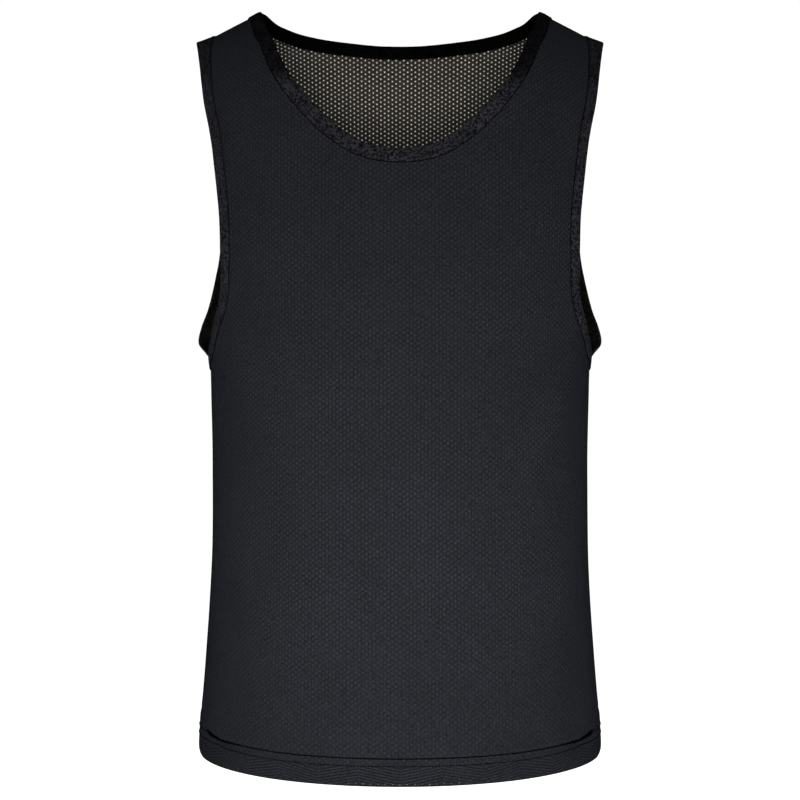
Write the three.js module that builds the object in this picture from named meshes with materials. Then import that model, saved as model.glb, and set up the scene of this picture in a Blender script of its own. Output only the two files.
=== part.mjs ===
// A mesh training bib, filled out as if worn, with nobody in it.
// Millimetres. +Z is up, the front faces -Y, and +X is the right as seen from the front.
// The origin is where the wearer's shoulders hold it up: on the centre plane, midway
// between the two shoulder straps and level with the middle of their inner faces.
//
// A point of the cloth is named by two numbers. Its turn is the angle in degrees round the
// body, 0 on the centre line and 90 on the side seam. Its run is the way down the body from
// the shoulder line. Every edge of a pattern piece is a curve in turn and run.

import * as THREE from "three";

// Cloth and sewing
const clothWall = 1.2;
const seamGap = 0.3;
const bindingWidth = 12.5;
const bindingWall = 1.0;
const bindingGap = 0.5;
const foldReach = bindingGap + bindingWall;
const turnUpWall = 1.0;
const hemTurnUp = 24;

// The whole garment
const hemHeight = -662;
const shoulderTipHalf = 186;
const neckPointHalf = 128.4;
const strapHeight = 12.1;
const strapHeightHalf = 134;
const shoulderSlope = 0.505;
const levelsWithin = 110;
const shoulderRounding = 100;
const widestHalf = 195;

// The general figure's sections: half the width, and how far the cloth stands in front of
// the side seams and behind them
const sections = [
  { height: 60, half: 195, front: 58, back: 52 },
  { height: 20, half: 195, front: 73, back: 64 },
  { height: 0, half: 194.6, front: 85, back: 73 },
  { height: -43, half: 193.7, front: 103, back: 89 },
  { height: -80, half: 192.7, front: 114, back: 98 },
  { height: -121, half: 191.3, front: 124, back: 105 },
  { height: -160, half: 189.4, front: 132, back: 108 },
  { height: -210, half: 186.2, front: 141, back: 109 },
  { height: -250, half: 181.2, front: 146, back: 107 },
  { height: -300, half: 174.3, front: 149, back: 105 },
  { height: -340, half: 172.8, front: 149, back: 101 },
  { height: -400, half: 171.6, front: 149, back: 97 },
  { height: -468, half: 171.8, front: 147, back: 96 },
  { height: -523, half: 174.4, front: 147, back: 99 },
  { height: -578, half: 178.2, front: 148, back: 103 },
  { height: -630, half: 182, front: 149, back: 107 },
  { height: hemHeight, half: 183.6, front: 149, back: 109 },
];

// The free edge of the neck, from the centre line to the shoulder seam
const frontNeck = [
  { half: 0, height: -121 },
  { half: 31, height: -115.5 },
  { half: 59, height: -96.5 },
  { half: 84, height: -69.5 },
  { half: 102, height: -43 },
  { half: 114, height: -15 },
  { half: 121, height: -1 },
];
const backNeck = [
  { half: 0, height: -6 },
  { half: 30, height: -5 },
  { half: 64, height: -2 },
  { half: 90, height: 1.8 },
  { half: 107, height: 6.5 },
  { half: 118, height: 11.5 },
];

// The free edge of the armhole below the shoulder seam, down to the side seam
const frontArmhole = [
  { height: -38, turn: 68.4 },
  { height: -71, turn: 64.9 },
  { height: -99, turn: 61.3 },
  { height: -127, turn: 59.2 },
  { height: -180, turn: 57 },
  { height: -224, turn: 56.9 },
  { height: -250, turn: 61 },
  { height: -273, turn: 70 },
  { height: -290, turn: 78 },
];
const backArmhole = [
  { height: -30, turn: 70.5 },
  { height: -71, turn: 66.6 },
  { height: -100, turn: 64.2 },
  { height: -127, turn: 62.5 },
  { height: -160, turn: 61.8 },
  { height: -211, turn: 64.5 },
  { height: -254, turn: 72 },
  { height: -273, turn: 77.5 },
  { height: -288, turn: 83 },
];
const armholeBottom = -300.3;

// The back edge of the armhole stands out from the body near the underarm
const wing = [
  { height: -301, out: 0 },
  { height: -296, out: 4.5 },
  { height: -288, out: 11.6 },
  { height: -273, out: 10.2 },
  { height: -254, out: 6 },
  { height: -233, out: 4 },
  { height: -205, out: 2 },
  { height: -175, out: 0.6 },
  { height: -150, out: 0 },
];
const wingSpread = 20;
const wingRadius = 130;

// Above the hem's stitching the cloth rolls over it, more at the sides than in the middle
const hemRoll = [
  { above: 40, out: 0 },
  { above: 16, out: 0.8 },
  { above: 5, out: 2 },
  { above: 1.5, out: 1.2 },
  { above: 0, out: -1 },
  { above: -3, out: -0.2 },
  { above: -12, out: 0.5 },
  { above: -hemTurnUp, out: -2 },
];
const rollAtCentre = 0.4;

// How finely the pieces are divided
const neckSteps = 12;
const shoulderSteps = 3;
const chestRows = 15;
const rowHeights = [-336, -368, -404, -444, -484, -524, -562, -596];
const sampleStep = 1 / 240;
const samePlace = 0.001;
const hair = 1e-6;

const mix = (a, b, share) => a + (b - a) * share;
const radians = THREE.MathUtils.degToRad;
const degrees = THREE.MathUtils.radToDeg;

// Reads one column of a table at any height, as a smooth curve through its rows
function readTable(rows, keyName, valueName, key) {
  const sorted = [...rows].sort((a, b) => a[keyName] - b[keyName]);
  const last = sorted.length - 1;
  if (key <= sorted[0][keyName]) return sorted[0][valueName];
  if (key >= sorted[last][keyName]) return sorted[last][valueName];
  const i = sorted.findIndex((row) => row[keyName] > key) - 1;
  const slope = (a, b) =>
    (sorted[b][valueName] - sorted[a][valueName]) / (sorted[b][keyName] - sorted[a][keyName]);
  const span = sorted[i + 1][keyName] - sorted[i][keyName];
  const share = (key - sorted[i][keyName]) / span;
  const leave = slope(Math.max(i - 1, 0), i + 1) * span;
  const arrive = slope(i, Math.min(i + 2, last)) * span;
  const square = share * share;
  const cube = square * share;
  return (
    sorted[i][valueName] * (2 * cube - 3 * square + 1) +
    leave * (cube - 2 * square + share) +
    sorted[i + 1][valueName] * (3 * square - 2 * cube) +
    arrive * (cube - square)
  );
}

// The shoulder line's height at a turn. It slopes straight along the strap, and levels out
// over the neck, where only the depth of the cloth below it is worked out from it.
function shoulderHeight(turn) {
  const half = widestHalf * Math.sin(radians(turn));
  const straight = strapHeight + shoulderSlope * (strapHeightHalf - half);
  if (half > levelsWithin) return straight;
  return straight - (shoulderSlope * (levelsWithin - half) ** 2) / (2 * levelsWithin);
}

const roundedRun = (shoulderRounding * Math.PI) / 2;

// Over the shoulder a run turns down along a quarter circle, and below that it is straight
function fallOfRun(run) {
  if (run < roundedRun) return shoulderRounding * (1 - Math.cos(run / shoulderRounding));
  return shoulderRounding + run - roundedRun;
}

function runOfHeight(turn, height) {
  const fall = Math.max(shoulderHeight(turn) - height, 0);
  if (fall < shoulderRounding) return shoulderRounding * Math.acos(1 - fall / shoulderRounding);
  return roundedRun + fall - shoulderRounding;
}

function turnOfHalf(half, height) {
  return degrees(Math.asin(half / readTable(sections, "height", "half", height)));
}

const tipTurn = degrees(Math.asin(shoulderTipHalf / widestHalf));
const neckPointTurn = degrees(Math.asin(neckPointHalf / widestHalf));

// One side of the garment, the front or the back, as a surface of turn and run
class Side {
  constructor(isFront, neckRows, armholeRows) {
    this.isFront = isFront;
    this.depthName = isFront ? "front" : "back";
    this.ySign = isFront ? -1 : 1;
    this.armholeRows = armholeRows;
    this.neck = this.neckCurve(neckRows);
    this.armhole = this.armholeCurve(armholeRows);
  }

  neckCurve(rows) {
    const marks = rows.map((row) => {
      const turn = turnOfHalf(row.half, row.height);
      return new THREE.Vector2(turn, runOfHeight(turn, row.height));
    });
    marks.push(new THREE.Vector2(neckPointTurn, 0));
    const mirrored = marks.slice(1).reverse().map((mark) => new THREE.Vector2(-mark.x, mark.y));
    const whole = new THREE.SplineCurve([...mirrored, ...marks]);
    return (share) => whole.getPoint(0.5 + Math.min(share, 1) / 2);
  }

  armholeCurve(rows) {
    const marks = [new THREE.Vector2(tipTurn, 0)];
    for (const row of rows) marks.push(new THREE.Vector2(row.turn, runOfHeight(row.turn, row.height)));
    marks.push(new THREE.Vector2(90, runOfHeight(90, armholeBottom)));
    const curve = new THREE.SplineCurve(marks);
    return (share) => curve.getPoint(THREE.MathUtils.clamp(share, 0, 1));
  }

  edgeTurn(height) {
    const rows = [{ height: 0, turn: tipTurn }, ...this.armholeRows, { height: armholeBottom, turn: 90 }];
    return readTable(rows, "height", "turn", height);
  }

  // How far the armhole's edge is flared away from the body, at the back only
  flare(turn, height) {
    if (this.isFront) return 0;
    const reach = readTable(wing, "height", "out", height);
    const inFromEdge = radians(this.edgeTurn(height) - turn) * wingRadius;
    return reach * Math.exp(-((Math.max(inFromEdge, 0) / wingSpread) ** 2));
  }

  place(turn, run) {
    const size = Math.abs(turn);
    const height = shoulderHeight(size) - fallOfRun(run);
    const rounding = run < roundedRun ? Math.sin(run / shoulderRounding) : 1;
    const aboveCrease = height - hemHeight - hemTurnUp;
    const rollShare = mix(rollAtCentre, 1, Math.sin(radians(size)) ** 2);
    const roll = readTable(hemRoll, "above", "out", aboveCrease) * rollShare;
    const half = readTable(sections, "height", "half", height) + roll;
    const depth = readTable(sections, "height", this.depthName, height) + roll;
    const x = half * Math.sin(radians(size)) + this.flare(size, height);
    const y = depth * Math.cos(radians(size)) * rounding + seamGap / 2;
    return new THREE.Vector3(Math.sign(turn) * x, this.ySign * y, height);
  }

  // The turn and run a given distance in from an edge curve, square to it along the cloth
  inFrom(curve, share, distance, inwards) {
    const tiny = 0.01;
    const at = curve(share);
    const before = curve(share - tiny);
    const after = curve(share + tiny);
    const here = this.place(at.x, at.y);
    const along = this.place(after.x, after.y).sub(this.place(before.x, before.y)).normalize();
    const perTurn = this.place(at.x + tiny, at.y).sub(here).divideScalar(tiny);
    const perRun = this.place(at.x, at.y + tiny).sub(here).divideScalar(tiny);
    const normal = perTurn.clone().cross(perRun).normalize();
    const inward = along.clone().cross(normal).normalize();
    if (inward.dot(perTurn) * inwards.x + inward.dot(perRun) * inwards.y < 0) inward.negate();
    const tt = perTurn.dot(perTurn);
    const rr = perRun.dot(perRun);
    const tr = perTurn.dot(perRun);
    const t = perTurn.dot(inward);
    const r = perRun.dot(inward);
    const spread = tt * rr - tr * tr;
    return new THREE.Vector2(
      at.x + (distance * (t * rr - r * tr)) / spread,
      at.y + (distance * (r * tt - t * tr)) / spread,
    );
  }
}

// Shares along a curve that cut it into equal lengths of cloth
function evenShares(side, curve, steps) {
  const lengths = [0];
  let last = side.place(...curve(0).toArray());
  for (let share = sampleStep; share < 1 + sampleStep / 2; share += sampleStep) {
    const next = side.place(...curve(Math.min(share, 1)).toArray());
    lengths.push(lengths[lengths.length - 1] + next.distanceTo(last));
    last = next;
  }
  const total = lengths[lengths.length - 1];
  const shares = [];
  for (let step = 0; step <= steps; step++) {
    const wanted = (total * step) / steps;
    const found = Math.max(lengths.findIndex((length) => length >= wanted - hair), 1);
    const part = (wanted - lengths[found - 1]) / (lengths[found] - lengths[found - 1]);
    shares.push(Math.min((found - 1 + part) * sampleStep, 1));
  }
  return shares;
}

// Diagonals that differ by less than this count as equal
const nearlyEqual = 0.2;

// The same quad seen from behind, which keeps its first corner and so its diagonal
const turnedOver = ([a, b, c, d]) => [a, d, c, b];

// A sheet of quads that shares its corner points, before it has any thickness
class Sheet {
  constructor() {
    this.points = [];
    this.normals = [];
    this.quads = [];
    this.seamPoints = new Set();
    this.indexByPlace = new Map();
  }

  add(point, onSeam = false) {
    const key = point.toArray().map((value) => Math.round(value / samePlace)).join();
    if (!this.indexByPlace.has(key)) {
      this.indexByPlace.set(key, this.points.length);
      this.points.push(point.clone());
    }
    const index = this.indexByPlace.get(key);
    if (onSeam) this.seamPoints.add(index);
    return index;
  }

  // Rows of indices, joined row to row. Flipped turns the outside over.
  join(rows, flipped) {
    for (let j = 0; j + 1 < rows.length; j++) {
      for (let i = 0; i + 1 < rows[j].length; i++) {
        const quad = [rows[j][i], rows[j + 1][i], rows[j + 1][i + 1], rows[j][i + 1]];
        this.quads.push(flipped ? turnedOver(this.split(quad)) : this.split(quad));
      }
    }
  }

  // A quad is cut along the line from its first corner, which is the shorter diagonal
  split([a, b, c, d]) {
    const first = this.points[a].distanceTo(this.points[c]);
    const second = this.points[b].distanceTo(this.points[d]);
    return first > second + nearlyEqual ? [b, c, d, a] : [a, b, c, d];
  }

  // Square to the cloth at each point. On a seam it has no part along Y, so the seam's
  // two faces stay parallel.
  findNormals() {
    this.normals = this.points.map(() => new THREE.Vector3());
    for (const [a, b, c, d] of this.quads) {
      const down = this.points[c].clone().sub(this.points[a]);
      const across = this.points[d].clone().sub(this.points[b]);
      const square = down.cross(across);
      for (const index of [a, b, c, d]) this.normals[index].add(square);
    }
    this.normals.forEach((normal, index) => {
      if (this.seamPoints.has(index)) normal.y = 0;
      normal.normalize();
    });
  }

  moved(index, distance) {
    return this.points[index].clone().addScaledVector(this.normals[index], distance);
  }

  // The sheet as a wall between two distances from its points, closed round its edge
  thickened(inside, outside) {
    const corners = [];
    for (const distance of [outside, inside]) {
      this.points.forEach((point, index) => corners.push(this.moved(index, distance)));
    }
    const half = this.points.length;
    const faces = [];
    const once = new Map();
    for (const quad of this.quads) {
      faces.push(quad);
      faces.push(turnedOver(quad.map((index) => index + half)));
      quad.forEach((from, corner) => {
        const to = quad[(corner + 1) % quad.length];
        if (!once.delete(`${to}-${from}`)) once.set(`${from}-${to}`, [from, to]);
      });
    }
    for (const [from, to] of once.values()) faces.push([to, from, from + half, to + half]);
    return solid(corners, faces);
  }
}

function solid(corners, faces) {
  const triangles = [];
  for (const face of faces) {
    for (let i = 2; i < face.length; i++) triangles.push(face[0], face[i - 1], face[i]);
  }
  const places = corners.flatMap((corner) => corner.toArray());
  const geometry = new THREE.BufferGeometry();
  geometry.setAttribute("position", new THREE.Float32BufferAttribute(places, 3));
  geometry.setIndex(triangles);
  geometry.computeVertexNormals();
  return geometry;
}

// One panel: the chest between the neck, the shoulders and the armholes, the strips of cloth
// that the bindings cover, and the body down to the hem
function makePanel(side) {
  const sheet = new Sheet();
  const towardsHem = new THREE.Vector2(0, 1);
  const towardsCentre = new THREE.Vector2(-1, 0.2);
  const neckShares = evenShares(side, side.neck, neckSteps);
  const armShares = evenShares(side, side.armhole, chestRows);

  const neckIn = (share, distance) => {
    const at = side.inFrom(side.neck, share, distance, towardsHem);
    if (share < sampleStep) at.x = 0;
    if (share > 1 - sampleStep) at.y = 0;
    return at;
  };
  const armIn = (share, distance) => {
    const at = side.inFrom(side.armhole, share, distance, towardsCentre);
    if (share < sampleStep) at.y = 0;
    if (share > 1 - sampleStep) {
      at.x = 90;
      at.y = runOfHeight(90, armholeBottom - distance);
    }
    return at;
  };
  const neckEdge = neckShares.map((share) => neckIn(share, foldReach));
  const neckInside = neckShares.map((share) => neckIn(share, bindingWidth));
  const armEdge = armShares.map((share) => armIn(share, foldReach));
  const armInside = armShares.map((share) => armIn(share, bindingWidth));

  // The top of the chest, from the centre line to the armhole's binding
  const top = [...neckInside];
  const shoulderStart = neckInside[neckSteps].x;
  for (let step = 1; step <= shoulderSteps; step++) {
    top.push(new THREE.Vector2(mix(shoulderStart, armInside[0].x, step / shoulderSteps), 0));
  }
  const columns = top.length - 1;
  const chestHeight = armholeBottom - bindingWidth;
  const bottomTurn = (column) => (90 * column) / columns;
  const bottom = top.map((mark, column) => {
    const turn = bottomTurn(column);
    return new THREE.Vector2(turn, runOfHeight(turn, chestHeight));
  });

  // A patch that meets all four of its edge curves
  const patch = (column, row) => {
    const u = column / columns;
    const v = row / chestRows;
    const centre = new THREE.Vector2(0, mix(top[0].y, bottom[0].y, v));
    const outer = armInside[row];
    const at = new THREE.Vector2();
    at.addScaledVector(top[column], 1 - v).addScaledVector(bottom[column], v);
    at.addScaledVector(centre, 1 - u).addScaledVector(outer, u);
    at.addScaledVector(top[0], -(1 - u) * (1 - v)).addScaledVector(top[columns], -u * (1 - v));
    at.addScaledVector(bottom[0], -(1 - u) * v).addScaledVector(bottom[columns], -u * v);
    return at;
  };

  const add = (mark, sign) => {
    const onSeam = mark.y < hair || mark.x > 90 - hair;
    const point = side.place(sign * mark.x, mark.y);
    if (mark.x < hair) point.x = 0;
    return sheet.add(point, onSeam);
  };
  const wholeRow = (marks) => [
    ...marks.slice(1).reverse().map((mark) => add(mark, -1)),
    ...marks.map((mark) => add(mark, 1)),
  ];

  const rows = [];
  for (let row = 0; row <= chestRows; row++) {
    rows.push(wholeRow(top.map((mark, column) => patch(column, row))));
  }
  const creaseHeights = hemRoll.map((row) => hemHeight + hemTurnUp + row.above);
  for (const height of [...rowHeights, ...creaseHeights]) {
    const marks = top.map((mark, column) => {
      const turn = bottomTurn(column);
      return new THREE.Vector2(turn, runOfHeight(turn, height));
    });
    rows.push(wholeRow(marks));
  }
  const flipped = !side.isFront;
  sheet.join(rows, flipped);

  const neck = { edge: wholeRow(neckEdge), inside: wholeRow(neckInside) };
  sheet.join([neck.edge, neck.inside], flipped);
  const armholes = {};
  for (const sign of [-1, 1]) {
    const edge = armEdge.map((mark) => add(mark, sign));
    const inside = armInside.map((mark) => add(mark, sign));
    sheet.join([edge, inside], flipped !== sign < 0);
    armholes[sign] = { edge, inside };
  }
  sheet.findNormals();
  const turnUpRows = rows.slice(-3);
  return { sheet, neck, armholes, turnUpRows, flipped };
}

// The stations of a binding: the cloth's cut edge, the line of stitches inside it, and the
// way square to the cloth at both
function stations(panel, strip) {
  return strip.edge.map((edgeIndex, i) => ({
    edge: panel.sheet.points[edgeIndex].clone(),
    inside: panel.sheet.points[strip.inside[i]].clone(),
    edgeNormal: panel.sheet.normals[edgeIndex].clone(),
    insideNormal: panel.sheet.normals[strip.inside[i]].clone(),
  }));
}

function meetAtSeam(a, b) {
  const joined = {};
  for (const name of Object.keys(a)) joined[name] = a[name].clone().add(b[name]).multiplyScalar(0.5);
  joined.edgeNormal.normalize();
  joined.insideNormal.normalize();
  return joined;
}

// A knitted tape folded over a cut edge and sewn through, as a ring with a U section
function makeBinding(frontStations, backStations, flipped) {
  const frontEnd = frontStations.length - 1;
  const backEnd = backStations.length - 1;
  const ring = [
    meetAtSeam(frontStations[0], backStations[backEnd]),
    ...frontStations.slice(1, frontEnd),
    meetAtSeam(frontStations[frontEnd], backStations[0]),
    ...backStations.slice(1, backEnd),
  ];
  const low = clothWall / 2 + bindingGap;
  const high = low + bindingWall;
  const corners = [];
  const perStation = 10;
  for (const { edge, inside, edgeNormal, insideNormal } of ring) {
    const out = edge.clone().sub(inside);
    out.addScaledVector(edgeNormal, -out.dot(edgeNormal)).normalize();
    const at = (past, up) => edge.clone().addScaledVector(out, past).addScaledVector(edgeNormal, up);
    const within = (up) => inside.clone().addScaledVector(insideNormal, up);
    const outerFold = [at(0, high), at(foldReach, high / 2), at(foldReach, -high / 2), at(0, -high)];
    const innerFold = [at(bindingGap, -low), at(bindingGap, low)];
    corners.push(within(high), ...outerFold, within(-high), within(-low), ...innerFold, within(low));
  }
  // Each leg's faces have the same diagonals as the cloth under them
  const byTheEdge = [false, true, true, true, true, false, false, true, true, false];
  const faces = [];
  ring.forEach((station, i) => {
    const after = ring[(i + 1) % ring.length];
    const here = i * perStation;
    const next = ((i + 1) % ring.length) * perStation;
    const fromEdge = station.edge.distanceTo(after.inside);
    const fromInside = station.inside.distanceTo(after.edge);
    const onFront = fromEdge <= fromInside + nearlyEqual;
    const onBack = fromInside > fromEdge + nearlyEqual;
    const startsByEdge = i < frontEnd ? onFront : onBack;
    for (let corner = 0; corner < perStation; corner++) {
      const beside = (corner + 1) % perStation;
      const face = [here + corner, here + beside, next + beside, next + corner];
      if (byTheEdge[corner] !== startsByEdge) face.push(face.shift());
      faces.push(flipped ? turnedOver(face) : face);
    }
  });
  return solid(corners, faces);
}

// The cloth turned up inside the hem, lying against the panel
function makeTurnUp(panel) {
  const sheet = new Sheet();
  const inset = -(clothWall / 2 + seamGap);
  const rows = panel.turnUpRows.map((row) => row.map((from) => {
    const index = sheet.add(panel.sheet.points[from]);
    sheet.normals[index] = panel.sheet.normals[from].clone();
    return index;
  }));
  sheet.join(rows, panel.flipped);
  return sheet.thickened(inset - turnUpWall, inset);
}

const meshCloth = new THREE.MeshStandardMaterial({ color: 0x25272b, roughness: 0.85, metalness: 0 });
const tapeCloth = new THREE.MeshStandardMaterial({ color: 0x1b1b1e, roughness: 0.9, metalness: 0 });

const bib = new THREE.Group();
function addPiece(name, geometry, material) {
  const mesh = new THREE.Mesh(geometry, material);
  mesh.name = name;
  bib.add(mesh);
}

const front = makePanel(new Side(true, frontNeck, frontArmhole));
const back = makePanel(new Side(false, backNeck, backArmhole));
addPiece("front_panel", front.sheet.thickened(-clothWall / 2, clothWall / 2), meshCloth.clone());
addPiece("back_panel", back.sheet.thickened(-clothWall / 2, clothWall / 2), meshCloth.clone());
addPiece("front_hem_turn_up", makeTurnUp(front), meshCloth.clone());
addPiece("back_hem_turn_up", makeTurnUp(back), meshCloth.clone());

const frontNeckLine = stations(front, front.neck);
const backNeckLine = stations(back, back.neck).reverse();
addPiece("neck_binding", makeBinding(frontNeckLine, backNeckLine, true), tapeCloth.clone());
for (const [name, sign] of [["armhole_binding_left", -1], ["armhole_binding_right", 1]]) {
  const downFront = stations(front, front.armholes[sign]);
  const upBack = stations(back, back.armholes[sign]).reverse();
  addPiece(name, makeBinding(downFront, upBack, sign > 0), tapeCloth.clone());
}

export default bib;
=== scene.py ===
# A mesh training bib, filled out as if worn, with nobody in it.
#
# The tables are in millimetres and degrees, as the part's own are, and a mesh is turned into
# metres when it is made. A point of the cloth is named by its turn, the angle round the body
# from the centre line, and its run, the way down the body from the shoulder line. On the flat
# cut the same point is named by how far across it lies from the centre line and how far up
# from the fold of the hem.

import math

import bpy
import numpy as np
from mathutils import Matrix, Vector


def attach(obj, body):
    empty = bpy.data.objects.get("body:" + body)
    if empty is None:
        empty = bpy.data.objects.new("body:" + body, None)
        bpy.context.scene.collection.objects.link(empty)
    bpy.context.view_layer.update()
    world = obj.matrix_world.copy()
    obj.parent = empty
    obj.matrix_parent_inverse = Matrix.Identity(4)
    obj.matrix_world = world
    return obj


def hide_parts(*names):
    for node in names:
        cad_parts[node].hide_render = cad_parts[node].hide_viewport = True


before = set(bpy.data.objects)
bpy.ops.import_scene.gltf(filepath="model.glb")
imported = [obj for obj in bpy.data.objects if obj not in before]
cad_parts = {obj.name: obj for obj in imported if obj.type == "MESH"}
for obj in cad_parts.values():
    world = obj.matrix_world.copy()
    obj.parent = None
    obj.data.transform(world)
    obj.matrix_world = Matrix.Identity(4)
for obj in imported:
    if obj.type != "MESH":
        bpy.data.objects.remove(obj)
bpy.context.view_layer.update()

MM = 0.001

# The cut and the sewing, within about 4 mm of the part's own solids
HEM_HEIGHT = -662
HEM_TURN_UP = 24
NET_END = 6.5
SHOULDER_TIP_HALF = 187.6
TIP_ROUNDED_OVER = 14
TIP_ROUNDING = 2.0
TIP_LEVELS_FROM = 172
TIP_LEVELLING = 0.0098
NECK_POINT_HALF = 128.4
STRAP_HEIGHT = 12.1
STRAP_HEIGHT_HALF = 134
SHOULDER_SLOPE = 0.505
LEVELS_WITHIN = 110
SHOULDER_ROUNDING = 100
WIDEST_HALF = 195
ARMHOLE_BOTTOM = -300.3
SEAM_TURN = 90

# The general figure's sections: height, half width, reach to the front, reach to the back
SECTIONS = [
    (60, 195, 58, 52), (20, 195, 73, 64), (0, 194.6, 85, 73),
    (-43, 193.7, 103, 89), (-80, 192.7, 114, 98), (-121, 191.3, 124, 105),
    (-160, 189.4, 132, 108), (-210, 186.2, 141, 109), (-250, 181.2, 146, 107),
    (-300, 174.3, 149, 105), (-340, 172.8, 149, 101), (-400, 171.6, 149, 97),
    (-468, 171.8, 147, 96), (-523, 174.4, 147, 99), (-578, 178.2, 148, 103),
    (-630, 182, 149, 107), (HEM_HEIGHT, 183.6, 149, 109),
]

# The free edge of the neck: half width, height
FRONT_NECK = [(0, -121), (31, -115.5), (59, -96.5), (84, -69.5), (102, -43), (114, -15), (121, -1)]
BACK_NECK = [(0, -4.6), (30, -3.7), (64, -1), (90, 2.4), (107, 6.7), (118, 11.5)]

# The free edge of the armhole: height, turn
FRONT_ARMHOLE = [
    (-38, 69.4), (-71, 65.7), (-99, 61.9), (-127, 59.7), (-180, 57.6),
    (-224, 58.8), (-250, 61.8), (-273, 70), (-290, 78),
]
BACK_ARMHOLE = [
    (-30, 71.5), (-71, 66.6), (-100, 64.2), (-127, 62.5), (-160, 61.8),
    (-211, 64.5), (-254, 72), (-273, 77.5), (-288, 83),
]

# The back edge of the armhole stands out near the underarm: height, out
WING = [
    (-301, 0), (-296, 4.5), (-288, 11.6), (-273, 10.9), (-254, 7),
    (-233, 4.8), (-205, 2.6), (-175, 1.1), (-120, 0),
]
BAND_EASE = 5
WING_SPREAD = 20
WING_RADIUS = 130

# The hem's stitching draws the cloth in, and the cloth above it rolls down over it: above
# the stitching, out, further down
HEM_CREASE = [
    (40, 0, 0), (16, 0.9, 0), (8, 1.9, 0.3), (4.4, 2.7, 1.3),
    (2.2, 2.2, 2.9), (0, -1.2, 0.3), (-2.2, -2.4, 0), (-4.5, -1.6, 0),
    (-8, 0, 0), (-12, 0, 0),
]
# Round the body: turn, how strong the crease is, how far it rises, how far the band stands
# out, how wide the painted shade of the crease is to each side, and how far below the crease it lies
HEM_ROUND = [
    (0, 0.3, 0, 0, 0.75, 0.45),
    (35, 0.35, 0, 0, 0.8, 0.5),
    (48, 0.6, 0.8, 0, 1.1, 1.0),
    (55, 0.8, 1.5, 0, 1.6, 1.7),
    (58, 0.95, 1.9, 0, 1.9, 2.4),
    (62, 1.1, 4.2, 0.1, 2.4, 3.6),
    (67, 1.15, 6.6, 0.3, 2.6, 4.8),
    (71, 1, 7.8, 0.5, 2.3, 4.6),
    (78, 0.6, 16, 0.9, 0.9, 1),
    (85, 0.15, 18.5, 1.1, 0.4, 0.3),
    (90, 0.1, 19, 1.1, 0.3, 0.2),
]
STITCHES_RISE = 3.5
# The fold at the bottom is tucked in: above the fold, out
FOLD_TUCK = [(0, -2.6), (2, -1.3), (5, -0.4), (9, 0)]


class Curve:
    """A smooth curve through rows of a table, as a function of the first column."""

    def __init__(self, rows, column=1):
        rows = sorted(rows)
        self.keys = np.array([row[0] for row in rows], float)
        self.values = np.array([row[column] for row in rows], float)
        last = len(rows) - 1
        before = np.maximum(np.arange(last + 1) - 1, 0)
        after = np.minimum(np.arange(last + 1) + 1, last)
        rise = self.values[after] - self.values[before]
        self.slopes = rise / (self.keys[after] - self.keys[before])

    def __call__(self, key):
        key = np.clip(key, self.keys[0], self.keys[-1])
        i = np.clip(np.searchsorted(self.keys, key, side="right") - 1, 0, len(self.keys) - 2)
        span = self.keys[i + 1] - self.keys[i]
        t = (key - self.keys[i]) / span
        square, cube = t * t, t * t * t
        start = self.values[i] * (2 * cube - 3 * square + 1)
        leave = self.slopes[i] * span * (cube - 2 * square + t)
        end = self.values[i + 1] * (3 * square - 2 * cube)
        arrive = self.slopes[i + 1] * span * (cube - square)
        return start + leave + end + arrive


def dot(a, b):
    """Of vectors in rows, row by row."""
    return (a * b).sum(1)


def through(marks, shares):
    """Points at shares of a smooth curve through marks, evenly many to each mark."""
    marks = np.array(marks, float)
    last = len(marks) - 1
    at = np.clip(shares, 0, 1) * last
    i = np.minimum(at.astype(int), last - 1)
    t = (at - i)[:, None]
    p0, p1 = marks[np.maximum(i - 1, 0)], marks[i]
    p2, p3 = marks[i + 1], marks[np.minimum(i + 2, last)]
    leave, arrive = (p2 - p0) / 2, (p3 - p1) / 2
    cubic = (2 * p1 - 2 * p2 + leave + arrive) * t**3
    return cubic + (3 * p2 - 3 * p1 - 2 * leave - arrive) * t**2 + leave * t + p1


half_width = Curve(SECTIONS, 1)
wing_out = Curve(WING)
crease_out, crease_down = (Curve(HEM_CREASE, column) for column in (1, 2))
crease_share, crease_rise, band_out = (Curve(HEM_ROUND, column) for column in (1, 2, 3))
crease_shade_reach, crease_shade_below = (Curve(HEM_ROUND, column) for column in (4, 5))
fold_tuck = Curve(FOLD_TUCK)
ROUNDED_RUN = SHOULDER_ROUNDING * math.pi / 2


def shoulder_height(turn):
    half = WIDEST_HALF * np.sin(np.radians(turn))
    straight = STRAP_HEIGHT + SHOULDER_SLOPE * (STRAP_HEIGHT_HALF - half)
    levelling = np.maximum(LEVELS_WITHIN - half, 0) ** 2
    tip = TIP_LEVELLING * np.maximum(half - TIP_LEVELS_FROM, 0) ** 2
    return straight - SHOULDER_SLOPE * levelling / (2 * LEVELS_WITHIN) + tip


def fall_of_run(run):
    rounded = SHOULDER_ROUNDING * (1 - np.cos(run / SHOULDER_ROUNDING))
    return np.where(run < ROUNDED_RUN, rounded, SHOULDER_ROUNDING + run - ROUNDED_RUN)


def run_of_height(turn, height):
    fall = np.maximum(shoulder_height(turn) - height, 0)
    rounded = SHOULDER_ROUNDING * np.arccos(np.clip(1 - fall / SHOULDER_ROUNDING, -1, 1))
    return np.where(fall < SHOULDER_ROUNDING, rounded, ROUNDED_RUN + fall - SHOULDER_ROUNDING)


def near_hem(turn, run):
    """How far a point lies above the fold and above the crease."""
    size = np.abs(turn)
    up = shoulder_height(size) - fall_of_run(run) - HEM_HEIGHT
    return up, up - HEM_TURN_UP - crease_rise(size)


def turn_of_half(half, height):
    return math.degrees(math.asin(half / half_width(height)))


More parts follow.
